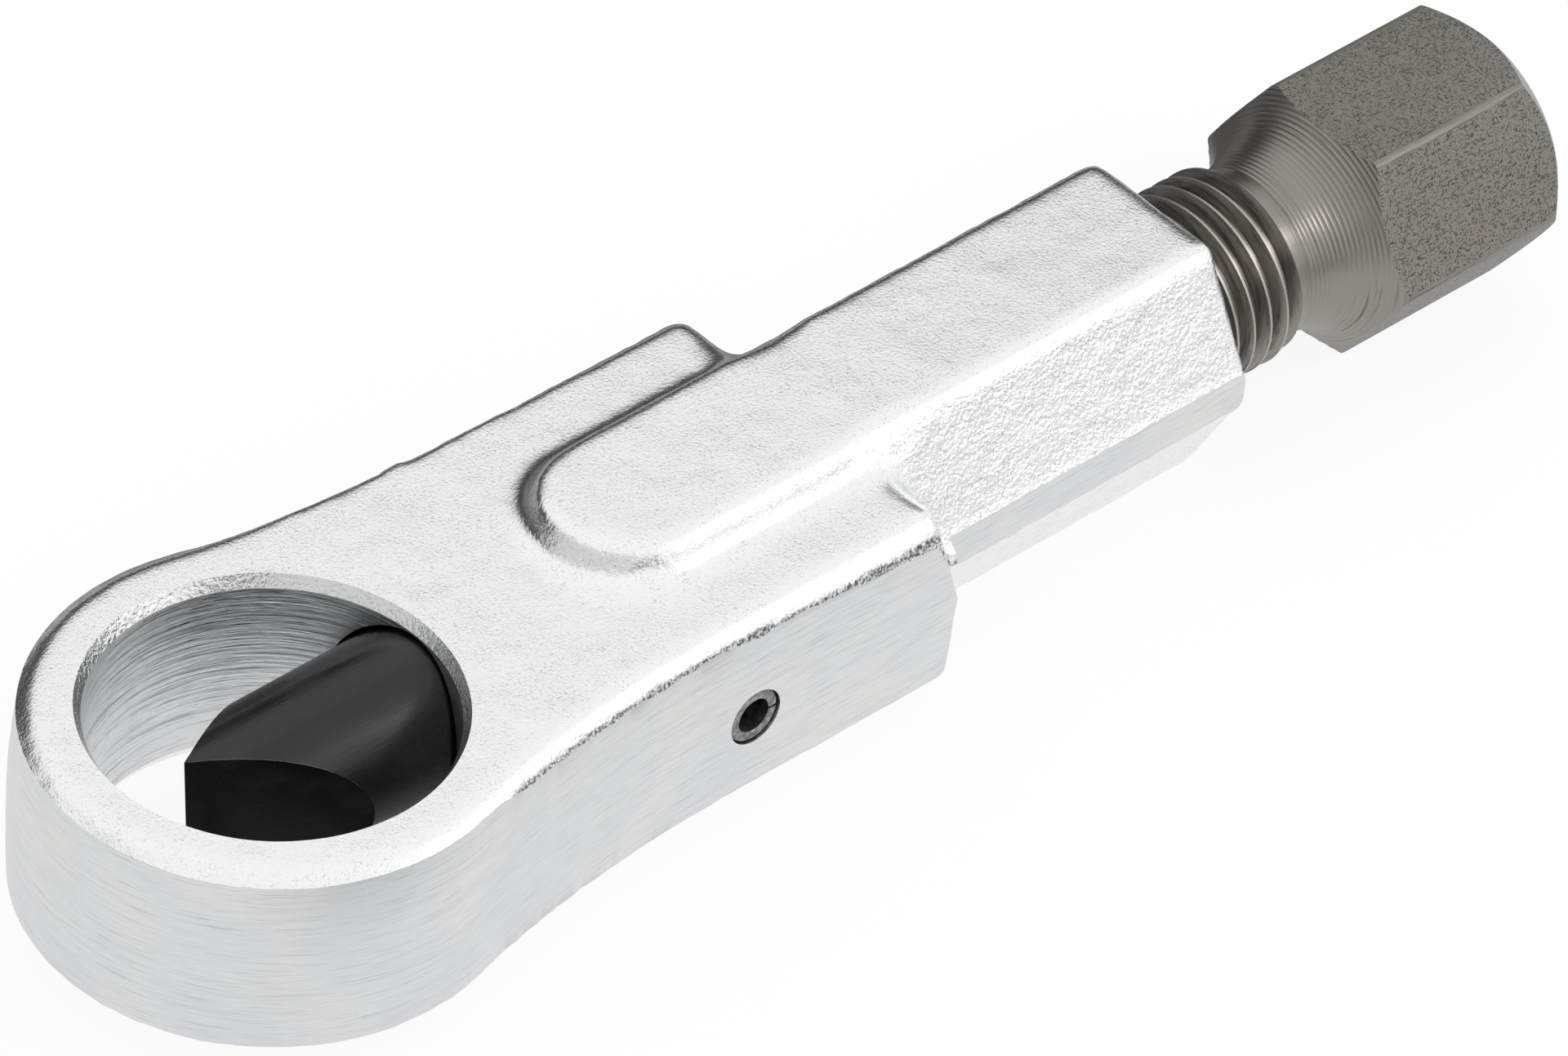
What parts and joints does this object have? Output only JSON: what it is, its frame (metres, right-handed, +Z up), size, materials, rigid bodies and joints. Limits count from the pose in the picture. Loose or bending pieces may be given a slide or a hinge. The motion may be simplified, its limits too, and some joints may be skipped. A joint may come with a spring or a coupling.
{
  "type": "nut splitter",
  "caption": "Hand tool with a forged eye for a seized nut and a wedge chisel that a hex-headed screw spindle drives into the eye to split the nut.",
  "frame": {"origin": "centre of the eye's bore, at mid thickness of the plate, on the tool's axis", "axes": "+X along the tool's axis from the eye towards the drive hexagon, +Z up through the eye, -Y towards the side with the spring pin"},
  "size_m": [0.1216, 0.0326, 0.0186],
  "materials": {
    "zinc_plated_forging": "bright zinc plating over a drop-forged, shot-blasted skin, with belt-ground sides",
    "black_oxide_steel": "satin black oxide over ground tool steel",
    "hardened_steel": "bare hardened steel, turned neck and drawn hexagon",
    "spring_steel": "dark tempered spring steel"
  },
  "bodies": {
    "body": {"forged_body": "zinc_plated_forging", "spring_pin": "spring_steel"},
    "chisel": {"chisel": "black_oxide_steel"},
    "spindle": {"spindle": "hardened_steel"}
  },
  "joints": [
    {"name": "chisel_feed", "type": "slide", "parent": "body", "child": "chisel", "axis": [1, 0, 0], "range_m": [-0.0048, 0.015]},
    {"name": "spindle_turn", "type": "hinge", "parent": "chisel", "child": "spindle", "pos_m": [0.06, 0, 0], "axis": [1, 0, 0], "range_deg": [-1153, 3601]}
  ],
  "couplings": [
    {"joint": "spindle_turn", "follows": "chisel_feed", "rad_per_m": 4188.8}
  ]
}
